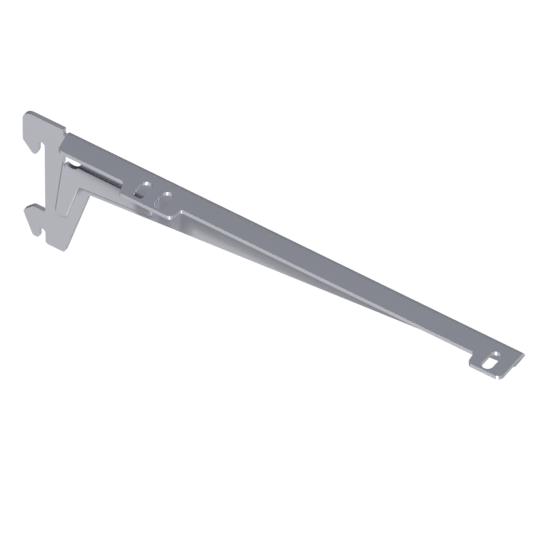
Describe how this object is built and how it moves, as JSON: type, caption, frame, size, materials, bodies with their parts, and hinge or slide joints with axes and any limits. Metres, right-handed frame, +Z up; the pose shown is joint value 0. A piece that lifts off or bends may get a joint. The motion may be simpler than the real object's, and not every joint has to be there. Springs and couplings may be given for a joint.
{
  "type": "slotted shelf bracket",
  "caption": "Sheet-steel shelf bracket with hooks for a slotted upright, a tapering arm stiffened by a pressed panel, and a folded shelf flange with slotted screw tabs.",
  "frame": {"origin": "on the upright's face, level with the top of the shelf flange, on the middle plane of the hook plate", "axes": "+X out from the upright along the arm, +Y across the arm away from the flange's side, +Z up"},
  "size_m": [0.2394, 0.018, 0.0707],
  "materials": {
    "sheet": "satin silver grey"
  },
  "bodies": {
    "root": {"bracket": "sheet"}
  },
  "joints": []
}
